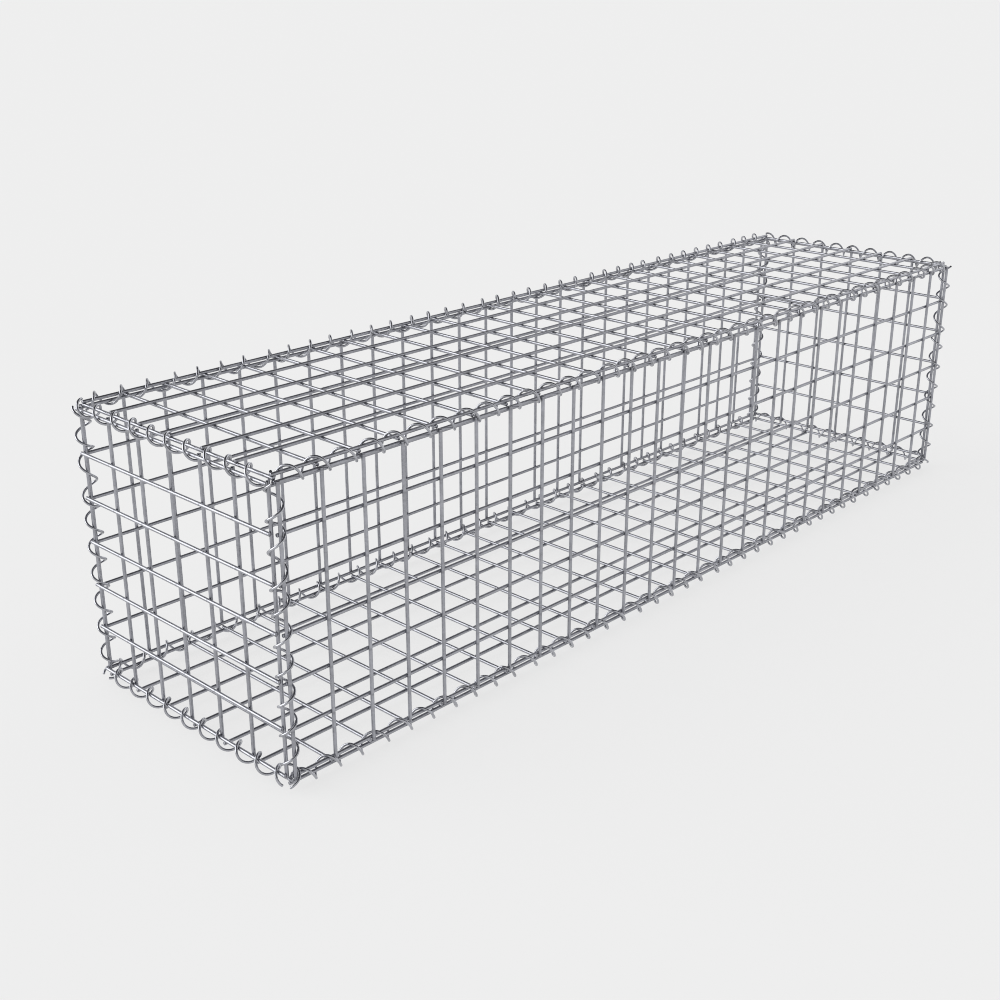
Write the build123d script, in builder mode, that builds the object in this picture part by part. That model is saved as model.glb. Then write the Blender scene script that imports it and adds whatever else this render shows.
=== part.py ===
"""Empty welded-mesh gabion basket: six wire panels laced along all twelve edges by spiral binders.

The frame has +X along the length, +Y to the back and +Z up, in millimetres, with the origin on the
ground under the middle of the basket.
"""

from build123d import *
from bisect import bisect
import math
import os

# Mesh: how many cells, and how far apart the wires stand along each axis
cells_long = 25
cells_deep = 6
cells_high = 6
cell_long = 79.2
cell_deep = 82.2
cell_high = 79.6

# Wires
mesh_wire = 6.2  # diameter of the panels' wires
mesh_sides = 4  # flat sides of the bar that stands for one
weld_sink = 1.0  # how far two wires sink into each other at a weld
wire_overhang = 3.4  # what each wire runs on past the last one it is welded to

# Gaps between a panel and the last wires of its neighbours
end_gap = 7.6  # end panel's uprights to the last wires of the long panels
side_gap = 11.6  # front or back panel's uprights to the last wires of the ends, lid and base
lid_gap = 10.3  # outer wires of the lid or base to the last wires of the walls

# Spiral binders
spiral_wire = 4.4  # diameter of the binder's wire
spiral_sides = 4  # flat sides of the bar that stands for it
spiral_runs = 6  # straight runs in one turn
long_pitch = 50.3  # along the long edges; evened out to a whole number of runs
short_pitch = 49.4  # along the short and the upright edges; evened out likewise
seat_clearance = 0.3  # between a binder and the two last wires it holds
slide_clearance = 1.3  # between a binder and the cross wires it passes
binder_end = 7.5  # from a binder's end to the panel across it
long_lid_end = 16.0  # the same for the long binders of the lid, which pass the short ones there


def bar_radius(wire, sides):
    """Radius over the corners of a regular polygon with the area of a round wire."""
    return wire / 2 * math.sqrt(2 * math.pi / (sides * math.sin(2 * math.pi / sides)))


mesh_bar = bar_radius(mesh_wire, mesh_sides)
spiral_bar = bar_radius(spiral_wire, spiral_sides)
layer = mesh_wire - weld_sink  # between the middles of two welded wires

# Where the last wires and the panels stand, from the middle of the basket
half_long = cells_long * cell_long / 2
half_deep = cells_deep * cell_deep / 2
half_high = cells_high * cell_high / 2
end_x = half_long + end_gap
side_y = half_deep + side_gap
lid_z = half_high + lid_gap

# A binder is just wide enough for the two last wires that lie furthest apart on any edge
seat = 0.5 * max(
    math.hypot(end_gap, side_gap),
    math.hypot(side_gap - layer, lid_gap),
    math.hypot(end_gap + layer, lid_gap - layer),
)
spiral_flat = seat + mesh_bar + seat_clearance + spiral_wire / 2
spiral_corner = spiral_flat / math.cos(math.pi / spiral_runs)

x, y, z = Vector(1, 0, 0), Vector(0, 1, 0), Vector(0, 0, 1)

os.makedirs("parts", exist_ok=True)


def marks(cells, cell):
    """Where the wires across an edge stand along it."""
    return [(i - cells / 2) * cell for i in range(round(cells) + 1)]


def wire_layer(middle, along, across, places, length):
    """Parallel wires, one at each place across, each centred on its middle."""
    with BuildSketch(Plane(origin=middle, x_dir=across, z_dir=along)) as sections:
        with Locations(*[(place, 0) for place in places]):
            RegularPolygon(mesh_bar, mesh_sides)
    return extrude(sections.sketch, amount=length / 2, both=True)


def panel(middle, u, v, out, places_u, places_v, v_outside):
    """One welded panel: wires along u and wires along v in two layers, fused where they cross."""
    inner, outer = middle - out * layer, middle
    along_u, along_v = (inner, outer) if v_outside else (outer, inner)
    length_u = places_u[-1] - places_u[0] + 2 * wire_overhang
    length_v = places_v[-1] - places_v[0] + 2 * wire_overhang
    with BuildPart() as mesh:
        add(wire_layer(along_u, u, v, places_v, length_u))
        add(wire_layer(along_v, v, u, places_u, length_v))
    return mesh.part


def spiral(along, across, length, turn_pitch, start_angle, places, edges):
    """A binder wound right-handed round the last wires of two panels, in straight mitred runs.

    Each edge gives its panel's last wire, a point on the line of its cross wires and the way they
    run inwards, all seen along the binder from the middle of the basket. A turn that would land on
    a cross wire slides along until it clears it, as it does when the binder is screwed on.
    """
    lift = along.cross(across)
    (wire_a, _, _), (wire_b, _, _) = edges
    middle, apart = (wire_a + wire_b) * 0.5, wire_b - wire_a
    out = apart.cross(along).normalized()
    out = out if out.dot(middle) > 0 else -out
    axis = middle + out * math.sqrt(abs(seat**2 - apart.length**2 / 4))

    runs = round(length * spiral_runs / turn_pitch)
    pitch = length * spiral_runs / runs
    mean_radius = (spiral_flat + spiral_corner) / 2
    room = (mesh_bar + spiral_bar) * math.hypot(1, pitch / (2 * math.pi * mean_radius))
    room += slide_clearance

    slides = {-pitch: 0, length + pitch: 0}
    for _, cross, inwards in edges:
        offset = (cross - axis) - inwards * (cross - axis).dot(inwards)
        hit = offset + inwards * math.sqrt(mean_radius**2 - offset.length**2)
        angle = math.atan2(hit.dot(lift), hit.dot(across)) - start_angle
        first_pass = pitch * (angle / (2 * math.pi))
        for place in places:
            wire = place + length / 2
            meets = first_pass + pitch * round((wire - first_pass) / pitch)
            if -pitch / 2 < meets < length + pitch / 2:
                miss = meets - wire
                slides[meets] = math.copysign(max(room - abs(miss), 0), miss)
    passes = sorted(slides)

    points = []
    for i in range(runs + 1):
        run = i * length / runs
        k = min(bisect(passes, run), len(passes) - 1)
        low, high = passes[k - 1], passes[k]
        share = (run - low) / (high - low)
        slide = slides[low] * (1 - share) + slides[high] * share
        angle = start_angle + i * 2 * math.pi / spiral_runs
        points.append(
            axis
            + along * (run + slide - length / 2)
            + across * (spiral_corner * math.cos(angle))
            + lift * (spiral_corner * math.sin(angle))
        )
    with BuildPart() as coil:
        with BuildLine() as path:
            Polyline(*points)
        with BuildSketch(Plane(origin=points[0], z_dir=points[1] - points[0])):
            RegularPolygon(spiral_bar, spiral_sides)
        sweep(path=path.line, transition=Transition.RIGHT, clean=False)
    return coil.part


def save(solid, name):
    """Set a piece on the ground and write it."""
    piece = solid.moved(Location(z * ground))
    piece.label = name
    export_step(piece, f"parts/{name}.step")


# Panels, round the middle of the basket; the back and the right end mirror the front and the left
long_marks = marks(cells_long, cell_long)
deep_marks = marks(cells_deep, cell_deep)
high_marks = marks(cells_high, cell_high)

front_panel = panel(-y * side_y, x, z, -y, long_marks, high_marks, True)
left_end_panel = panel(-x * (end_x + layer), y, z, -x, deep_marks, high_marks, False)
top_panel = panel(z * lid_z, x, y, z, long_marks, deep_marks, False)
bottom_panel = panel(-z * lid_z, x, y, -z, long_marks, deep_marks, False)

# Binders, each run between the panels across its ends
def long_spiral(up, end, start_angle):
    """Binder between the front panel and the lid (up is z) or the base (up is -z)."""
    wall = (up * half_high - y * (side_y - layer), up * half_high - y * side_y, -up)
    flat = (up * lid_z - y * half_deep, up * (lid_z - layer) - y * half_deep, y)
    length = 2 * (end_x - end)
    return spiral(x, y, length, long_pitch, start_angle, long_marks, [wall, flat])


def end_spiral(up, start_angle):
    """Binder between the left end panel and the lid (up is z) or the base (up is -z)."""
    wall = (up * half_high - x * (end_x + layer), up * half_high - x * end_x, -up)
    flat = (up * (lid_z - layer) - x * half_long, up * lid_z - x * half_long, x)
    length = 2 * (side_y - layer - binder_end)
    return spiral(y, z, length, short_pitch, start_angle, deep_marks, [wall, flat])


def corner_spiral(start_angle):
    """Binder between the left end panel and the front panel."""
    side = (-y * side_y - x * half_long, -y * (side_y - layer) - x * half_long, x)
    end = (-y * half_deep - x * end_x, -y * half_deep - x * (end_x + layer), y)
    length = 2 * (lid_z - layer - binder_end)
    return spiral(z, x, length, short_pitch, start_angle, high_marks, [side, end])


front_bottom_spiral = long_spiral(-z, binder_end, math.radians(331))
front_top_spiral = long_spiral(z, long_lid_end, math.radians(270))
left_bottom_spiral = end_spiral(-z, math.radians(231))
left_top_spiral = end_spiral(z, math.radians(22))
front_left_spiral = corner_spiral(math.radians(354))
back_left_spiral = front_left_spiral.mirror(Plane.XZ)

# The basket stands on the lowest turns of its bottom binders
ground = -min(front_bottom_spiral.bounding_box().min.Z, left_bottom_spiral.bounding_box().min.Z)

save(front_panel, "front_panel")
save(front_panel.mirror(Plane.XZ), "back_panel")
save(left_end_panel, "left_end_panel")
save(left_end_panel.mirror(Plane.YZ), "right_end_panel")
save(top_panel, "top_panel")
save(bottom_panel, "bottom_panel")

save(front_bottom_spiral, "front_bottom_spiral")
save(front_bottom_spiral.mirror(Plane.XZ), "back_bottom_spiral")
save(front_top_spiral, "front_top_spiral")
save(front_top_spiral.mirror(Plane.XZ), "back_top_spiral")
save(left_bottom_spiral, "left_bottom_spiral")
save(left_bottom_spiral.mirror(Plane.YZ), "right_bottom_spiral")
save(left_top_spiral, "left_top_spiral")
save(left_top_spiral.mirror(Plane.YZ), "right_top_spiral")
save(front_left_spiral, "front_left_spiral")
save(front_left_spiral.mirror(Plane.YZ), "front_right_spiral")
save(back_left_spiral, "back_left_spiral")
save(back_left_spiral.mirror(Plane.YZ), "back_right_spiral")
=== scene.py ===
"""Empty gabion basket of galvanised welded mesh, laced along its twelve edges by spiral binders."""

import math

import bpy
import numpy as np
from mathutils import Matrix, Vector


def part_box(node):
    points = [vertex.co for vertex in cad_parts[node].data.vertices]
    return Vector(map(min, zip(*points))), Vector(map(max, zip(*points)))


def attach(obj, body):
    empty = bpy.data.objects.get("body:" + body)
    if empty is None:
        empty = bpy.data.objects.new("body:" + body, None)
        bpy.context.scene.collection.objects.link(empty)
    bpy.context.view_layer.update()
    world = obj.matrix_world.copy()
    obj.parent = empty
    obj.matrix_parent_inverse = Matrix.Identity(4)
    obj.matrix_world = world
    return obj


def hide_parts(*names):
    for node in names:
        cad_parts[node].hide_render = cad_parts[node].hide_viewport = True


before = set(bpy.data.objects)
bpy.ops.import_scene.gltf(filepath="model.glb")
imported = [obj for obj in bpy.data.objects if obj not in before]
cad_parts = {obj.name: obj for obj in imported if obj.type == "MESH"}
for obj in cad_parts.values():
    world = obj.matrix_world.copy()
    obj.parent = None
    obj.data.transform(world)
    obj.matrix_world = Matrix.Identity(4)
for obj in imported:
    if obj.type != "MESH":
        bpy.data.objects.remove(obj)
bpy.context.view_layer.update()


# --- Camera -----------------------------------------------------------------------------------
# A 50 mm lens a little over two metres from the near corner, looking down along the basket. Its
# place and aim were fitted to the wires of the front, left end, lid and base.

view = bpy.data.cameras.new("view")
view.lens, view.sensor_width = 50, 36
view.clip_start, view.clip_end = 0.05, 2000
camera = bpy.data.objects.new("view", view)
camera.location = (-2.08998, -1.73209, 1.18953)
camera.rotation_euler = [math.radians(angle) for angle in (68.57493, -0.02248, -46.44518)]
bpy.context.collection.objects.link(camera)
bpy.context.scene.camera = camera
bpy.context.scene.view_settings.view_transform = "Standard"
bpy.context.scene.cycles.filter_width = 1.0


# --- Studio floor and light -------------------------------------------------------------------
# A pale, matt studio floor, lit from within so that shadows on it stay faint. It runs on past the
# horizon into a backdrop of the same tone. Round it is a soft dome, and one broad lamp stands
# behind the left end.

class Shade:
    """A socket of a node tree; arithmetic on values adds Math nodes."""

    def __init__(self, tree, socket=None):
        self.tree, self.socket = tree, socket

    def node(self, kind, settings=None, out=0, **sockets):
        """Adds any node: its settings first, then the values or links of its sockets.

        It gives the node's output of that name or number.
        """
        node = self.tree.nodes.new("ShaderNode" + kind)
        for name, value in (settings or {}).items():
            if name == "stops":
                ramp = node.color_ramp
                while len(ramp.elements) < len(value):
                    ramp.elements.new(0.5)
                for element, (place, tone) in zip(ramp.elements, value):
                    element.position, element.color = place, (*tone, 1)
            else:
                setattr(node, name, value)
        for name, value in sockets.items():
            socket = self.find(node, name)
            if isinstance(value, Shade):
                self.tree.links.new(value.socket, socket)
            elif socket.type == "RGBA" and len(value) == 3:
                socket.default_value = (*value, 1)
            else:
                socket.default_value = value
        return Shade(self.tree, node.outputs[out]) if len(node.outputs) else None

    @staticmethod
    def find(node, name):
        """A socket by its number, as in_2, or by its name with _ for each space."""
        if name.startswith("in_"):
            return node.inputs[int(name[3:])]
        wanted = name.replace("_", " ").lower()
        return next(s for s in node.inputs if s.enabled and s.name.lower() == wanted)

    def maths(self, operation, *values):
        values = {f"in_{i}": value for i, value in enumerate(values)}
        return self.node("Math", {"operation": operation}, **values)

    def __add__(self, other):
        return self.maths("ADD", self, other)

    def __mul__(self, other):
        return self.maths("MULTIPLY", self, other)

    __radd__, __rmul__ = __add__, __mul__

    def over(self, low, high):
        """0 below low, 1 above high, and a smooth step between."""
        return self.node(
            "MapRange",
            {"interpolation_type": "SMOOTHSTEP"},
            value=self, from_min=low, from_max=high,
        )

    def blend(self, low, high):
        """A colour that goes from low to high as this value goes from 0 to 1."""
        return self.node("Mix", {"data_type": "RGBA"}, out=2, in_0=self, in_6=low, in_7=high)


def material(name):
    """An empty material and its node tree."""
    made = bpy.data.materials.new(name)
    made.use_nodes = True
    made.node_tree.nodes.clear()
    return made, Shade(made.node_tree)


floor_tone = 0.857  # what the floor and the backdrop both send to the camera
floor_glow = 0.8  # how much of that the floor gives out by itself
floor_white = 0.9
lamp_way = Vector((-0.66, 0.64, 0.38)).normalized()
lamp_power, lamp_width = 1.9, math.radians(57)
dome = floor_tone / floor_white - lamp_power * lamp_way.z / math.pi  # what the lamp leaves to add
pale, dark = (0.86, 0.86, 0.87), (0.09, 0.09, 0.095)
ceiling_starts, ceiling_full = 0.44, 0.64
window, window_starts, window_full = (1.5, 1.5, 1.51), 0.69, 0.92

# The dome lights the floor evenly. In the wires it is a pale wall round a darker ceiling, with a
# brighter window past the right end.
world = bpy.data.worlds.new("studio")
bpy.context.scene.world = world
world.use_nodes = True
world.node_tree.nodes.clear()
room = Shade(world.node_tree)
way = room.node("TexCoord", out="Generated")
right, up = (room.node("SeparateXYZ", out=axis, vector=way) for axis in "XZ")
stops = [(0.0, pale), (ceiling_starts, pale), (ceiling_full, dark), (1.0, dark)]
walls = room.node("ValToRGB", {"stops": stops}, fac=up)
walls = right.over(window_starts, window_full).blend(walls, window)
light = room.node("LightPath", out="Is Glossy Ray").blend((dome,) * 3, walls)
light = room.node("LightPath", out="Is Camera Ray").blend(light, (floor_tone,) * 3)
room.node("OutputWorld", surface=room.node("Background", color=light, strength=1.0))

key = bpy.data.lights.new("lamp", "SUN")
key.energy, key.angle = lamp_power, lamp_width
key_object = bpy.data.objects.new("lamp", key)
key_object.rotation_euler = lamp_way.to_track_quat("Z", "Y").to_euler()
bpy.context.collection.objects.link(key_object)

floor_finish, shade = material("matt_floor")
matt = shade.node("BsdfDiffuse", color=(floor_white,) * 3, roughness=0.0)
glow = shade.node("Emission", color=(floor_tone,) * 3, strength=1.0)
lit = shade.node("MixShader", in_0=floor_glow, in_1=matt, in_2=glow)
shade.node("OutputMaterial", surface=lit)
floor_reach, floor_corners = 400.0, 64
turns = [2 * math.pi * i / floor_corners for i in range(floor_corners)]
rim = [(floor_reach * math.cos(turn), floor_reach * math.sin(turn), 0) for turn in turns]
floor_mesh = bpy.data.meshes.new("floor")
floor_mesh.from_pydata(rim, [], [list(range(floor_corners))])
floor_mesh.materials.append(floor_finish)
floor = bpy.data.objects.new("floor", floor_mesh)
bpy.context.collection.objects.link(floor)


# --- Welded mesh panels -----------------------------------------------------------------------
# Six flat panels of drawn steel wire, welded at every crossing and then dipped in zinc: front,
# back, two ends, lid and base. Each wire is cut off square just past the last one it crosses.

mm = 0.001
x_way, y_way, z_way = np.eye(3)
cell_long, cell_deep, cell_high = 79.2 * mm, 82.2 * mm, 79.6 * mm
cells_long, cells_deep, cells_high = 25, 6, 6
mesh_wire = 6.2 * mm
layer = 5.2 * mm  # between the middles of two welded wires
wire_overhang = 3.4 * mm  # what each wire runs on past the last one it is welded to
cut_end, chamfer = 0.78, 0.5 * mm  # share of the radius left at a cut end, and how long it tapers
burnt_reach = 3.2 * mm  # how far a weld discolours a wire
bead_radius, bead_height = 2.7 * mm, 1.3 * mm
wire_sides, sharp_angle = 14, math.radians(50)


def zinc(name, tone, roughness):
    """Bluish grey zinc on drawn wire: clouded, faintly spangled, duller and darker at the welds."""
    made, shade = material(name)
    place = shade.node("TexCoord", out="Object")
    clouds = shade.node("TexNoise", vector=place, scale=22.0, detail=4.0, roughness=0.6)
    grain = shade.node("TexNoise", vector=place, scale=420.0, detail=3.0, roughness=0.7)
    spangle = shade.node("TexVoronoi", {"feature": "F1"}, out="Color", vector=place, scale=260.0)
    flake = shade.node("SeparateColor", out="Red", color=spangle)
    weld = shade.node("Attribute", {"attribute_name": "weld"}, out="Fac")
    dull = clouds.over(0.35, 0.7)
    bright = [c * 1.16 for c in tone]
    dark = [c * 0.80 for c in tone]
    burnt = [c * 0.55 for c in tone]
    base = (dull * 0.6 + flake * 0.4).blend(dark, bright)
    base = (weld * (0.25 + 0.4 * grain)).blend(base, burnt)
    rough = roughness + 0.10 * dull + 0.06 * flake + 0.15 * weld
    ripple = shade.node("Bump", strength=0.25, distance=0.0002, height=grain + 0.5 * clouds)
    surface = shade.node(
        "BsdfPrincipled",
        base_color=base, metallic=1.0, roughness=rough, normal=ripple,
    )
    shade.node("OutputMaterial", surface=surface)
    return made


mesh_zinc = zinc("mesh_zinc", tone=(0.38, 0.386, 0.418), roughness=0.26)


def tube(line, radii, sides, weld=None):
    """Round wire along a line of points, closed at both ends: its points, faces and weld marks."""
    line = np.asarray(line)
    ways = np.gradient(line, axis=0)
    ways /= np.linalg.norm(ways, axis=1)[:, None]
    side = np.cross(ways[0], z_way if abs(ways[0][2]) < 0.9 else x_way)
    sides_out = []
    for way in ways:
        side = side - way * side.dot(way)
        side /= np.linalg.norm(side)
        sides_out.append(side)
    sides_out = np.array(sides_out)
    others = np.cross(ways, sides_out)
    turn = 2 * np.pi * np.arange(sides) / sides
    cosines, sines = np.cos(turn)[None, :, None], np.sin(turn)[None, :, None]
    round_line = cosines * sides_out[:, None] + sines * others[:, None]
    rings = line[:, None] + round_line * np.asarray(radii)[:, None, None]
    points = rings.reshape(-1, 3)
    faces = []
    for i in range(len(line) - 1):
        for j in range(sides):
            a, b = i * sides + j, i * sides + (j + 1) % sides
            faces.append((a, b, b + sides, a + sides))
    last = (len(line) - 1) * sides
    faces.append(tuple(reversed(range(sides))))
    faces.append(tuple(range(last, last + sides)))
    marks = np.repeat(weld if weld is not None else np.zeros(len(line)), sides)
    return points, faces, marks


def piece(name, shapes, finish, node):
    """One object from many shapes, standing for a node of the frame."""
    points, faces, marks, start = [], [], [], 0
    for shape_points, shape_faces, shape_marks in shapes:
        points.append(shape_points)
        faces += [tuple(i + start for i in face) for face in shape_faces]
        marks.append(shape_marks)
        start += len(shape_points)
    mesh = bpy.data.meshes.new(name)
    mesh.from_pydata(np.concatenate(points).tolist(), [], faces)
    mesh.attributes.new("weld", "FLOAT", "POINT").data.foreach_set(
        "value", np.concatenate(marks).astype(np.float32)
    )
    mesh.polygons.foreach_set("use_smooth", [True] * len(mesh.polygons))
    mesh.set_sharp_from_angle(angle=sharp_angle)
    mesh.materials.append(finish)
    made = bpy.data.objects.new(name, mesh)
    bpy.context.collection.objects.link(made)
    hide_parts(node)
    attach(made, "root")


def straight_wire(middle, way, places, half):
    """A panel's wire that reaches half to each side, chamfered at its ends and marked at welds."""
    rings = [(-half, cut_end, 0.0), (chamfer - half, 1.0, 0.0)]
    for place in places:
        before, after = place - burnt_reach, place + burnt_reach
        rings += [(before, 1.0, 0.0), (place, 1.0, 1.0), (after, 1.0, 0.0)]
    rings += [(half - chamfer, 1.0, 0.0), (half, cut_end, 0.0)]
    steps, scales, weld = np.array(rings).T
    line = middle + steps[:, None] * way
    return tube(line, mesh_wire / 2 * scales, wire_sides, weld)


def weld_bead(place, out):
    """The little collar of metal squeezed out between two wires at their weld."""
    side = np.cross(out, z_way if abs(out[2]) < 0.9 else x_way)
    other = np.cross(out, side)
    rings, sides = 5, 12
    points = [place - out * bead_height]
    for i in range(1, rings):
        tilt = math.pi * i / rings - math.pi / 2
        for j in range(sides):
            turn = 2 * math.pi * j / sides
            flat = math.cos(turn) * side + math.sin(turn) * other
            level = out * bead_height * math.sin(tilt)
            points.append(place + flat * bead_radius * math.cos(tilt) + level)
    points.append(place + out * bead_height)
    faces = [(0, 1 + (j + 1) % sides, 1 + j) for j in range(sides)]
    for i in range(rings - 2):
        for j in range(sides):
            a, b = 1 + i * sides + j, 1 + i * sides + (j + 1) % sides
            faces.append((a, b, b + sides, a + sides))
    top = 1 + (rings - 2) * sides
    faces += [(len(points) - 1, top + j, top + (j + 1) % sides) for j in range(sides)]
    return np.array(points), faces, np.ones(len(points))


def wire_places(cells, cell):
    """Where the wires across an edge stand along it."""
    return np.array([(i - cells / 2) * cell for i in range(cells + 1)])


def panel(name, node, u, v, out, places_u, places_v, half_u, half_v, v_outside, drop=0.0):
    """One panel: wires along u and along v in two layers, with a bead at every weld."""
    low, high = (np.array(corner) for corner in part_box(node))
    middle = (low + high) / 2 + out * drop
    along_u = middle + out * layer / 2 * (-1 if v_outside else 1)
    along_v = middle - out * layer / 2 * (-1 if v_outside else 1)
    shapes = [straight_wire(along_u + v * b, u, places_u, half_u) for b in places_v]
    shapes += [straight_wire(along_v + u * a, v, places_v, half_v) for a in places_u]
    shapes += [weld_bead(middle + u * a + v * b, out) for a in places_u for b in places_v]
    piece(name, shapes, mesh_zinc, node)


at_long = wire_places(cells_long, cell_long)
at_deep = wire_places(cells_deep, cell_deep)
at_high = wire_places(cells_high, cell_high)
half_long, half_deep, half_high = at_long[-1], at_deep[-1], at_high[-1]
reach_long = half_long + wire_overhang
reach_deep = half_deep + wire_overhang
reach_high = half_high + wire_overhang

# The ends' level wires sit a little high, and the base is a little wide and hangs a little low
end_lift = np.array([3.0, 5.5, 5.0, 4.5, 4.0, 3.5, 0.0]) * mm
at_end_high = at_high + end_lift
base_drop, base_past_end, base_past_side = 2 * mm, 3 * mm, 3 * mm
at_base_long = at_long * (1 + base_past_end / half_long)
at_base_deep = at_deep * (1 + base_past_side / half_deep)

for side, out in (("front", -y_way), ("back", y_way)):
    panel(
        f"{side}_mesh", f"{side}_panel", x_way, z_way, out,
        at_long, at_high, reach_long, reach_high, True,
    )
for side, out in (("left", -x_way), ("right", x_way)):
    panel(
        f"{side}_end_mesh", f"{side}_end_panel", y_way, z_way, out,
        at_deep, at_end_high, reach_deep, reach_high, False,
    )
panel(
    "lid_mesh", "top_panel", x_way, y_way, z_way,
    at_long, at_deep, reach_long, reach_deep, False,
)
panel(
    "base_mesh", "bottom_panel", x_way, y_way, -z_way, at_base_long, at_base_deep,
    reach_long + base_past_end, reach_deep + base_past_side, False, base_drop,
)


# --- Spiral binders ---------------------------------------------------------------------------
# Twelve long springs of thinner galvanised wire, screwed on along the edges round the last wires
# of two panels. Where a turn meets a cross wire it slides along beside it.

spiral_wire = 4.4 * mm
spiral_radius = 12.9 * mm
spiral_sides, turn_points = 12, 30
long_pitch, end_pitch, corner_pitch = 50.34 * mm, 49.4 * mm, 49.7 * mm
binder_end = 7.5 * mm  # from a binder's end to the panel across it
lid_near_end, lid_far_end = 10.5 * mm, 16 * mm  # the same for the long binders of the lid
corner_foot, corner_head = 16 * mm, 3.4 * mm  # what a corner binder runs on past the last wires
slide_room = 1.3 * mm  # along the binder, beyond touching a cross wire; less is left at an angle
graze, graze_room = 0.4, 3 * mm  # share of the radius from which a pass needs this much more room

# How far the panels stand past the last wires of their neighbours, and where that puts them
end_gap, side_gap, lid_gap = 7.6 * mm, 11.6 * mm, 10.3 * mm
end_x, side_y, lid_z = half_long + end_gap, half_deep + side_gap, half_high + lid_gap
basket_middle = np.array([0, 0, (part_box("front_panel")[0].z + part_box("front_panel")[1].z) / 2])
seat = 0.5 * max(
    math.hypot(end_gap, side_gap),
    math.hypot(side_gap - layer, lid_gap),
    math.hypot(end_gap + layer, lid_gap - layer),
)

spiral_zinc = zinc("spiral_zinc", tone=(0.42, 0.426, 0.455), roughness=0.16)


def binder(name, node, along, across, span, pitch, edges, start_angle, mirror):
    """A spring round the last wires of two panels, sliding past their cross wires.

    It is wound right-handed, and then mirrored where the mirror has a -1. Each edge gives its
    last wire, a point on its cross wires, the way they run inwards and where they stand.
    """
    lift = np.cross(along, across)
    wire_a, wire_b = edges[0][0], edges[1][0]
    centre, apart = (wire_a + wire_b) / 2, wire_b - wire_a
    out = np.cross(apart, along)
    out /= np.linalg.norm(out)
    out = out if out.dot(centre) > 0 else -out
    axis = centre + out * math.sqrt(abs(seat**2 - apart.dot(apart) / 4))

    start, length = span[0], span[1] - span[0]
    start_angle = math.radians(start_angle)
    slope = math.hypot(1, pitch / (2 * math.pi * spiral_radius))
    room = (mesh_wire + spiral_wire) / 2 * slope + slide_room
    slides = {-pitch: 0.0, length + pitch: 0.0}
    for _, cross, inwards, places in edges:
        offset = (cross - axis) - inwards * (cross - axis).dot(inwards)
        hit = offset + inwards * math.sqrt(spiral_radius**2 - offset.dot(offset))
        angle = math.atan2(hit.dot(lift), hit.dot(across)) - start_angle
        first_pass = pitch * angle / (2 * math.pi)
        grazes = offset.dot(offset) > (graze * spiral_radius) ** 2
        for place in places:
            wire = place - start
            meets = first_pass + pitch * round((wire - first_pass) / pitch)
            miss = meets - wire
            clear = room + (graze_room if grazes and miss < 0 else 0)
            slides[meets] = math.copysign(max(clear - abs(miss), 0), miss)
    passes = sorted(slides)
    s = np.linspace(0, length, round(length / pitch * turn_points) + 1)
    k = np.clip(np.searchsorted(passes, s), 1, len(passes) - 1)
    low, high = np.array(passes)[k - 1], np.array(passes)[k]
    share = (s - low) / (high - low)
    share = share * share * (3 - 2 * share)
    slide_at = np.array([slides[p] for p in passes])
    slid = slide_at[k - 1] * (1 - share) + slide_at[k] * share
    angle = start_angle + s * 2 * np.pi / pitch
    line = (
        axis
        + np.outer(start + s + slid, along)
        + np.outer(spiral_radius * np.cos(angle), across)
        + np.outer(spiral_radius * np.sin(angle), lift)
    )
    line = basket_middle + line * np.array(mirror)
    radii = np.full(len(line), spiral_wire / 2)
    piece(name, [tube(line, radii, spiral_sides)], spiral_zinc, node)


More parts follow.
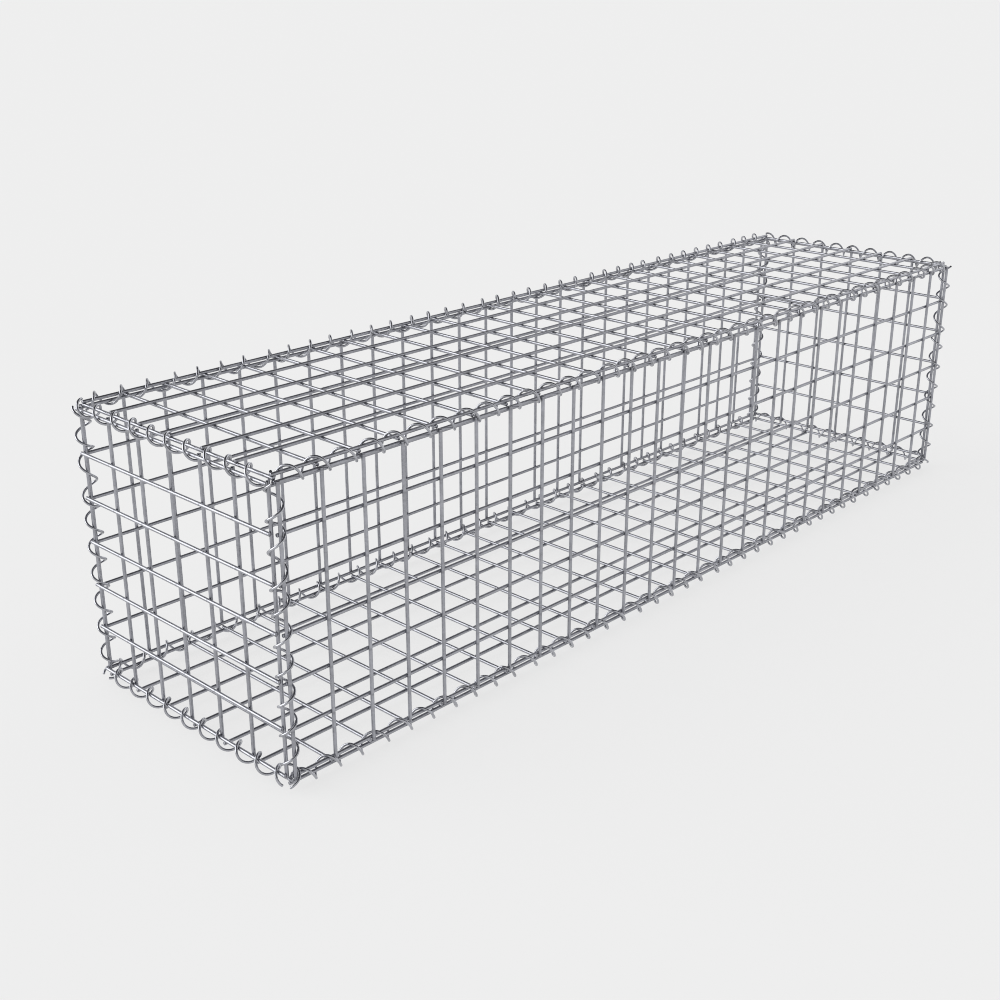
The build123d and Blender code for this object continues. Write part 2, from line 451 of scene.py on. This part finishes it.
def long_edge(up, drop, past_side, flat_places, near_end, far_end):
    """Between the front and the lid or base: ways, span, pitch and the two edges."""
    wall_z = up * half_high
    wall = (wall_z - y_way * (side_y - layer), wall_z - y_way * side_y, -up, at_long)
    flat_y, flat_z = -y_way * (half_deep + past_side), up * (lid_z + drop)
    flat = (flat_z + flat_y, flat_z - up * layer + flat_y, y_way, flat_places)
    return x_way, y_way, (near_end - end_x, end_x - far_end), long_pitch, [wall, flat]


def end_edge(up, lift, drop, past_end, flat_places):
    """Between the left end and the lid or base."""
    wall_z = up * half_high + z_way * lift
    wall = (wall_z - x_way * (end_x + layer), wall_z - x_way * end_x, -up, at_deep)
    flat_x, flat_z = -x_way * (half_long + past_end), up * (lid_z + drop)
    flat = (flat_z - up * layer + flat_x, flat_z + flat_x, x_way, flat_places)
    half = side_y - layer - binder_end
    return y_way, z_way, (-half, half), end_pitch, [wall, flat]


def corner_edge():
    """Between the front and the left end."""
    side_x, end_y = -x_way * half_long, -y_way * half_deep
    side = (-y_way * side_y + side_x, -y_way * (side_y - layer) + side_x, x_way, at_high)
    end = (end_y - x_way * end_x, end_y - x_way * (end_x + layer), y_way, at_end_high)
    span = (-half_high - corner_foot, half_high + corner_head)
    return z_way, x_way, span, corner_pitch, [side, end]


base_long_edge = long_edge(-z_way, base_drop, base_past_side, at_base_long, binder_end, binder_end)
lid_long_edge = long_edge(z_way, 0, 0, at_long, lid_near_end, lid_far_end)
base_end_edge = end_edge(-z_way, end_lift[0], base_drop, base_past_end, at_base_deep)
lid_end_edge = end_edge(z_way, end_lift[-1], 0, 0, at_deep)

as_wound, to_back, to_right, to_both = (1, 1, 1), (1, -1, 1), (-1, 1, 1), (-1, -1, 1)
for edge, start_angle, copies in (
    (base_long_edge, 331, {"front_bottom": as_wound, "back_bottom": to_back}),
    (lid_long_edge, 305.5, {"front_top": as_wound, "back_top": to_back}),
    (base_end_edge, 222, {"left_bottom": as_wound, "right_bottom": to_right}),
    (lid_end_edge, 40, {"left_top": as_wound, "right_top": to_right}),
    (corner_edge(), 221, {
        "front_left": as_wound, "back_left": to_back,
        "front_right": to_right, "back_right": to_both,
    }),
):
    for one, mirror in copies.items():
        binder(f"{one}_binder", f"{one}_spiral", *edge, start_angle, mirror)
